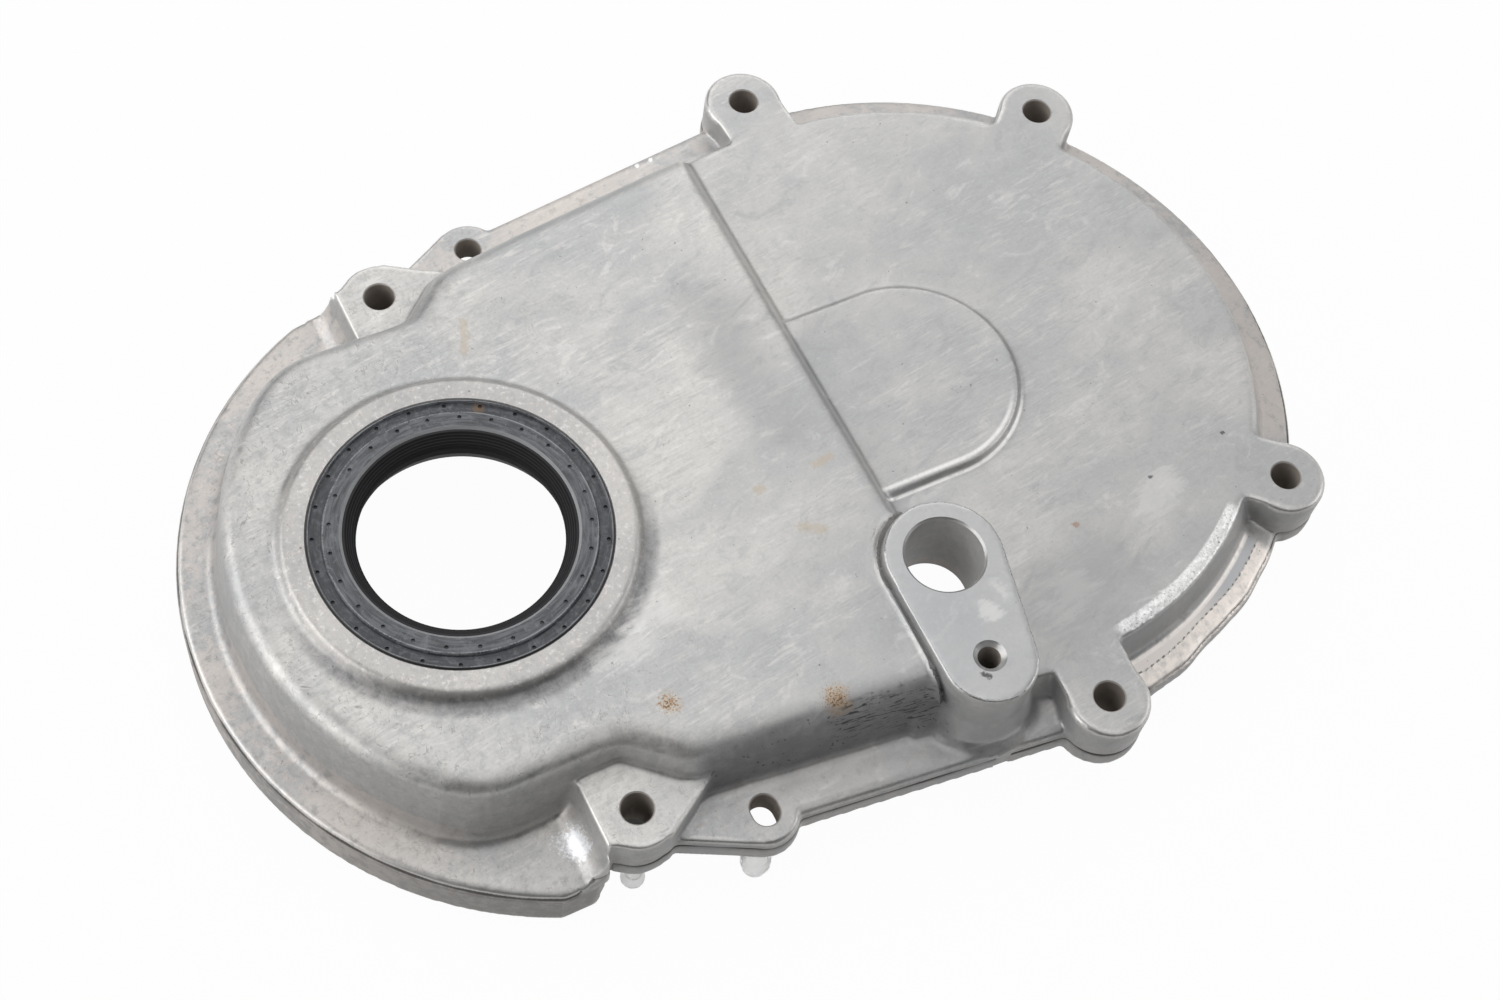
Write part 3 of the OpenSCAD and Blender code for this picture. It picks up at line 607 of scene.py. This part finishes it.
trim_far = cam_far - TRIM_R + TRIM_DIP / (1 + dip_turn * dip_turn) + (mottle - 0.5) * 0.9
foot_far = cam_far - FOOT_R
strip = metal.mix(metal.fit(cam_turn, 0.3, 0.5), (0.84, 0.785, 0.74), (0.52, 0.525, 0.54))
on_strip = on_ledge * metal.fit(trim_far, 0.2, -0.2) * metal.fit(foot_far, -0.4, 0.4)
foot_highlight = on_ledge * metal.line(foot_far, 0.75, 0.25) * metal.fit(mottle, 0.3, 0.55, 0.5, 1.0)
band_tint_and_light = on_ledge * metal.fit(trim_far, -0.1, 0.3) * metal.fit(mottle, 0.3, 0.6, 0.5, 0.95)
dots = metal.fit(cam_turn.math("SINE", cam_turn * (DOT_R * math.tau / DOT_PITCH), 0), -0.3, 0.3)
trim_line = on_ledge * metal.line(trim_far, 0.3, 0.08)
burr = metal.mark("chipped")
sparkle = metal.noise(2.0, 4, 0.8)
# The strip's tone, also painted brighter as light.
metal.lay(on_strip * 0.8, strip)
# Painted highlight along the foot of the wall above the ledge.
metal.lay(foot_highlight * 0.85, (0.9, 0.85, 0.81))
# The band's heat tint, also painted brighter as light.
metal.lay(band_tint_and_light, (0.92, 0.85, 0.795))
metal.lay(trim_line * dots * metal.fit(grain, 0.4, 0.52) * 0.85, (0.09, 0.088, 0.085))
metal.lay(metal.fit(burr, 0.2, 0.8) * metal.fit(sparkle, 0.4, 0.6, 0.45, 0.85), (0.88, 0.88, 0.87))
metal.lay(metal.fit(burr, 0.3, 0.7) * metal.fit(sparkle, 0.4, 0.35) * 0.85, (0.06, 0.06, 0.06))

# Pits, rust specks, stains, rubbed marks, clouds of painted shade and a painted highlight, each where it
# lies on the cover. A mark runs from one point to another, with its reach in millimetres and its share.
RUST = (0.3, 0.185, 0.09)
RUST_HALO = (0.42, 0.3, 0.17)
RUST_DARK = (0.1, 0.06, 0.035)
BROWN = (0.3, 0.2, 0.13)
TAN = (0.42, 0.355, 0.275)
SHADE_GREY = (0.3, 0.3, 0.305)
PALE = (0.74, 0.73, 0.71)
HIGHLIGHT_BLUE_WHITE = (0.84, 0.85, 0.88)
WHITE = (0.9, 0.9, 0.9)
BLACK = (0.05, 0.05, 0.052)
LEDGE_TOP = 7.0
PAINTED_SHADES = [
    ((-33.5, 72.1, CRANK_TOP), (1.6, 74.3, CRANK_TOP), 11.0, 0.45),
    ((-27.0, 79.0, CRANK_TOP), (-17.0, 69.0, CRANK_TOP), 10.0, 0.35),
    ((62.0, 110.0, SEAT_TOP), (57.2, 127.0, SEAT_TOP), 14.0, 0.6),
    ((72.0, 102.0, SEAT_TOP), (66.0, 118.0, SEAT_TOP), 9.0, 0.35),
]
RUBS = [
    ((60.4, 92.0, BOSS_TOP), (63.0, 92.6, BOSS_TOP), 2.6, 0.34),
    ((57.5, 96.2, BOSS_TOP), (59.5, 97.2, BOSS_TOP), 2.0, 0.26),
    ((64.0, 111.0, SEAT_TOP), (60.0, 118.0, SEAT_TOP), 5.2, 0.14),
    ((49.0, 144.0, SEAT_TOP), (46.0, 150.0, SEAT_TOP), 5.2, 0.26),
    ((37.8, 14.2, CRANK_TOP), (37.0, 23.5, CRANK_TOP), 4.6, 0.34),
    ((33.0, 25.5, CRANK_TOP), (31.0, 31.0, CRANK_TOP), 4.6, 0.3),
]
STAINS = [
    ((-48.6, 21.6, CRANK_TOP), (-41.8, 18.7, CRANK_TOP), 1.3, 0.5, TAN),
    ((15.2, 61.7, CRANK_TOP), (15.2, 63.0, CRANK_TOP), 1.3, 0.6, TAN),
    ((14.7, 76.1, CRANK_TOP), (14.0, 80.0, CRANK_TOP), 1.2, 0.6, TAN),
    ((27.0, 66.5, CRANK_TOP), (29.5, 70.5, CRANK_TOP), 1.5, 0.5, TAN),
    ((47.4, 125.1, SEAT_TOP), (47.4, 125.6, SEAT_TOP), 0.9, 0.7, BROWN),
    ((43.8, 147.1, SEAT_TOP), (43.8, 147.3, SEAT_TOP), 0.6, 0.8, BLACK),
    ((40.6, 168.6, SEAT_TOP), (40.6, 168.8, SEAT_TOP), 0.6, 0.8, BLACK),
    ((74.0, 83.8, BOSS_TOP), (75.0, 84.8, BOSS_TOP), 0.8, 0.85, BLACK),
    # Painted highlight on the ramp by the near bolt.
    ((64.1, -6.3, 6.0), (66.0, -2.4, 4.6), 4.0, 0.9, HIGHLIGHT_BLUE_WHITE),
    ((-83.1, 81.2, LEDGE_TOP), (-84.2, 81.6, LEDGE_TOP), 0.6, 0.9, WHITE),
    ((-83.5, 84.9, LEDGE_TOP), (-84.4, 85.4, LEDGE_TOP), 0.6, 0.9, WHITE),
]
RUST_SPOTS = [((52.2, 22.8, CRANK_TOP), 3.4, 0.8), ((65.0, 54.6, 21.0), 4.4, 1.0)]
SCORED_FROM = (69.6, 58.0, 17.0)
SCORED_TO = (71.3, 72.0, 16.0)
SCORED_REACH = 7.5
pits = metal.noise(0.9, 2, 0.5)
speckle = metal.noise(2.6, 2, 0.6)
scores = metal.noise(1.0, 3, 0.6, metal.stretched(0, (2.0, 3.6, 0.42)), 0.3)
smeared = (smears - 0.5) * 3 + (strokes - 0.5) * 2.4 + (grain - 0.5) * 1.6
ragged = (grain - 0.5) * 2.4 + (mottle - 0.5) * 1.4
metal.lay(metal.fit(pits, 0.735, 0.78) * flat_top * 0.7, (0.16, 0.15, 0.145))
# Painted shade: soft grey clouds beside the step and the boss.
for start, end, reach, share in PAINTED_SHADES:
    far = metal.away(start, end) / reach + (smears - 0.5) * 1.2
    metal.lay(metal.fit(far, 1.1, 0.0) * share, SHADE_GREY)
for start, end, reach, share in RUBS:
    far = metal.away(start, end) / reach + smeared
    metal.lay(metal.fit(far, 1.1, 0.2) * share, PALE)
for start, end, reach, share, colour in STAINS:
    far = metal.away(start, end) / reach + ragged
    metal.lay(metal.fit(far, 1.05, 0.35) * share, colour)
for start, reach, share in RUST_SPOTS:
    far = metal.away(start) / reach
    metal.lay(metal.fit(far + (mottle - 0.5) * 1.5, 1.0, 0.2) * share * 0.45, RUST_HALO)
    metal.lay(metal.fit(speckle - far * 0.3, 0.34, 0.46) * metal.fit(far, 1.1, 0.7) * share, RUST)
    metal.lay(metal.fit(speckle - far * 0.4, 0.42, 0.52) * metal.fit(far, 0.9, 0.5) * share, RUST_DARK)
scored_far = metal.away(SCORED_FROM, SCORED_TO) / SCORED_REACH + (mottle - 0.5)
scored = metal.fit(scored_far, 1.0, 0.4) * near_wall
bore_stain_and_shade = metal.mark("bore")
metal.lay(scored * metal.fit(scores, 0.54, 0.61) * 0.9, (0.035, 0.035, 0.037))
metal.lay(near_wall * metal.fit(pits, 0.66, 0.7) * 0.7, BLACK)
# Bore walls: oil stain, and painted shade.
metal.lay(bore_stain_and_shade * 0.9, (0.27, 0.235, 0.205))

bright = 0.1 + 0.52 * open_side + 0.16 * open_side * (1 - flat_top)
satin = 0.46 + (strokes - 0.5) * 0.25 + (mottle - 0.5) * 0.2
polish = 0.06 * boss_top + 0.1 * wear_and_highlight + 0.03 * (1 - flat_top)
metal.use(Base_Color=metal.tone, Metallic=bright * (1 - bore_stain_and_shade) * (1 - near_wall),
          Roughness=satin - polish + 0.5 * bore_stain_and_shade + 0.1 * near_wall)
relief = strokes * 0.4 + hairs * 0.3 + grain * 0.35 + mottle * 0.3
metal.bump(relief - metal.fit(pits, 0.72, 0.78), 0.2, 0.25)
metal.dress(casting)
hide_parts("cover_casting")
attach(casting, "root")


# The crank seal's shell: a pressed steel ring, pushed into the bored seat of the cover.
# Only its back edge shows, from inside the cover.
shell_steel = Finish("seal_steel", Metallic=0.9)
brushed = shell_steel.noise(0.5, 3, 0.6, shell_steel.stretched(0, (1, 1, 0.125)))
shell_steel.use(Base_Color=shell_steel.mix(brushed, (0.22, 0.225, 0.235), (0.36, 0.365, 0.375)),
                Roughness=0.32 + brushed * 0.25)
shell_steel.dress(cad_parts["seal_case"])


# The rubber of the seal, moulded into the shell. Its front face has a sunk outer channel and
# two rows of small vent pits, with a blue sheen and pale scuffs from handling.
FACE_R = 28.0
CHANNEL_RIM_HIGHLIGHTS = [(28.45, 0.32, 0.6), (31.35, 0.25, 0.5)]
RUST_AT = (-25.9, 15.1, 24.5)
RUST_REACH = 1.7
black = Finish("seal_rubber", IOR=1.5)
seal_far, seal_turn = black.about((0, 0))
polar = black.node("ShaderNodeCombineXYZ", {}, {0: seal_turn * FACE_R, 1: seal_far, 2: black.z})
drawn = black.node("ShaderNodeMapping", {}, {"Vector": polar, "Scale": (0.16, 1.5, 1.0)})
streaks = black.noise(1.0, 4, 0.65, drawn, 0.4)
scuffs = black.noise(0.5, 5, 0.7, None, 0.8)
dust = black.noise(2.4, 3, 0.7)
face = black.fit(black.z, 23.7, 24.2)
sunk = black.band(seal_far, 28.5, 28.9, 31.1, 31.4)
rust_far = black.away(RUST_AT) / RUST_REACH + (dust - 0.5) * 2
black.tone = black.mix(black.fit(streaks, 0.36, 0.66) * face, (0.042, 0.044, 0.05), (0.118, 0.124, 0.136))
black.lay(black.fit(scuffs, 0.52, 0.7) * face * 0.5, (0.2, 0.208, 0.222))
black.lay(black.fit(dust, 0.6, 0.74) * face * 0.35, (0.3, 0.305, 0.315))
# Painted shade: the sunk channel is made darker.
black.lay(sunk * black.fit(scuffs, 0.62, 0.4, 0.2, 0.75), (0.022, 0.024, 0.03))
# Painted highlights along the channel's two rims, broken up by noise.
for line_r, wide, share in CHANNEL_RIM_HIGHLIGHTS:
    highlight_breaks = black.fit(dust + streaks, 0.8, 1.15)
    black.lay(black.line(seal_far - line_r, wide, 0.1) * highlight_breaks * share, (0.33, 0.34, 0.35))
black.lay(black.fit(seal_far, 31.5, 31.65) * 0.9, (0.012, 0.012, 0.013))
# Painted highlight along the inner edge of the face.
black.lay(black.fit(seal_far, 25.1, 24.95) * face * 0.6, (0.36, 0.365, 0.37))
black.lay(black.fit(rust_far, 1.0, 0.4) * 0.85, (0.13, 0.075, 0.035))
black.use(Base_Color=black.tone, Roughness=0.33 + scuffs * 0.3)
black.bump(streaks + scuffs * 0.5 + dust * 0.4, 0.2, 0.2)
black.dress(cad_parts["seal_rubber"])


# The running lip, bonded inside the rubber, with fine grooves that carry oil back.
# It is plain black, and dull with soot.
GROOVE_PITCH = 0.5
soot = Finish("lip_rubber", IOR=1.2)
lip_wear = soot.noise(0.8, 3, 0.6, soot.stretched(0, (2.5, 2.5, 0.33)))
ridges = soot.z.math("SINE", soot.z * (math.tau / GROOVE_PITCH), 0)
soot.tone = soot.mix(lip_wear, (0.01, 0.01, 0.011), (0.024, 0.024, 0.025))
soot.lay(soot.fit(ridges, 0.2, 0.9), (0.036, 0.036, 0.038))
soot.use(Base_Color=soot.tone, Roughness=0.75 + lip_wear * 0.2)
soot.dress(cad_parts["seal_lip"])


# The rear gasket: a moulded rubber bead lying in the groove of the mating face,
# dusted with the powder of its mould.
bead = Finish("gasket_rubber", IOR=1.5)
powder = bead.noise(0.7, 4, 0.65)
bead.use(Base_Color=bead.mix(powder, (0.03, 0.03, 0.033), (0.075, 0.075, 0.08)),
         Roughness=0.55 + powder * 0.25)
bead.bump(powder, 0.15, 0.2)
bead.dress(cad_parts["rear_gasket"])


# Two natural nylon pins, moulded, pressed into blind holes beside the near bolt and dowel.
# They hold the gasket to the cover until it is bolted on.
nylon = Finish("nylon", IOR=1.2, Transmission_Weight=0.7)
haze = nylon.noise(0.6, 3, 0.5)
nylon.use(Base_Color=nylon.mix(haze, (0.86, 0.86, 0.85), (0.95, 0.95, 0.945)), Roughness=0.45 + haze * 0.2)
nylon.bump(haze, 0.1, 0.1)
for name in ("collared_pin", "round_pin"):
    nylon.dress(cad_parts[name])


# The studio: white paper under the pins, soft boxes above, behind and to the left, weaker ones
# in front and to the right, and the camera where the photograph was taken from.
FLOOR_Z = -0.0124
FLOOR_REACH = 30.0
PIN_SHADE = (60.5, 13.5)
AIM = (0.0, 0.07, 0.01)
BOXES = [
    ("back_overhead_box", (-0.62, 0.22, 1.0), 1.4, 1.3, 7.0),
    ("overhead_box", (0.0, 0.12, 1.2), 0.8, 0.8, 2.5),
    ("front_overhead_box", (0.6, 0.3, 0.95), 0.9, 0.6, 1.5),
    ("low_left_box", (-0.3, -1.0, 0.4), 1.7, 0.8, 6.6),
    ("left_box", (-0.35, -0.95, 0.8), 1.6, 1.0, 6.6),
    ("right_box", (-0.05, 1.1, 0.6), 1.6, 0.8, 3.4),
    ("right_front_box", (0.45, 1.0, 0.45), 0.9, 0.6, 1.6),
    ("back_box", (-1.0, 0.6, 0.6), 1.2, 0.9, 3.6),
]

floor_mesh = bpy.data.meshes.new("floor")
corners = [(sx * FLOOR_REACH, sy * FLOOR_REACH, FLOOR_Z) for sx, sy in ((-1, -1), (1, -1), (1, 1), (-1, 1))]
floor_mesh.from_pydata(corners, [], [(0, 1, 2, 3)])
floor = placed("floor", floor_mesh)
paper = Finish("studio_paper", Roughness=0.9)
tooth = paper.noise(0.02, 2, 0.5)
paper.use(Base_Color=paper.mix(tooth, (0.58, 0.58, 0.58), (0.62, 0.62, 0.62)))
ray = paper.node("ShaderNodeLightPath", {}, {}, "Is Camera Ray")
rays = ray.socket.node.outputs
lit = ray + Sum(paper, rays["Is Glossy Ray"]) + Sum(paper, rays["Is Transmission Ray"])
shade = paper.fit(paper.about(PIN_SHADE)[0], 8.0, 6.0)
glow = paper.node("ShaderNodeEmission", {}, {"Strength": 1.0})
matt = Sum(paper, paper.shader.outputs[0])
blend = paper.node("ShaderNodeMixShader", {}, {0: lit * 0.97 * (1 - shade), 1: matt, 2: glow})
paper.set(paper.tree.nodes["Material Output"].inputs[0], blend)
floor_mesh.materials.append(paper.material)

world = bpy.data.worlds.new("studio")
scene.world = world
world.use_nodes = True
world.node_tree.nodes["Background"].inputs[0].default_value = (0.95, 0.97, 1.0, 1)
world.node_tree.nodes["Background"].inputs[1].default_value = 0.02

for name, at, wide, tall, power in BOXES:
    lamp = bpy.data.lights.new(name, "AREA")
    lamp.shape = "RECTANGLE"
    lamp.size = wide
    lamp.size_y = tall
    lamp.energy = power
    box = placed(name, lamp)
    box.location = at
    off = np.subtract(at, AIM)
    box.rotation_euler = (math.atan2(math.hypot(off[0], off[1]), off[2]), 0, math.atan2(off[0], -off[1]))

camera = bpy.data.cameras.new("camera")
camera.sensor_width = 36
camera.lens = 54.565
camera.clip_start = 0.01
eye = placed("camera", camera)
eye.location = (0.20928, -0.086842, 0.442501)
eye.rotation_euler = (math.radians(29.3865), math.radians(-5.8594), math.radians(63.0837))
scene.camera = eye
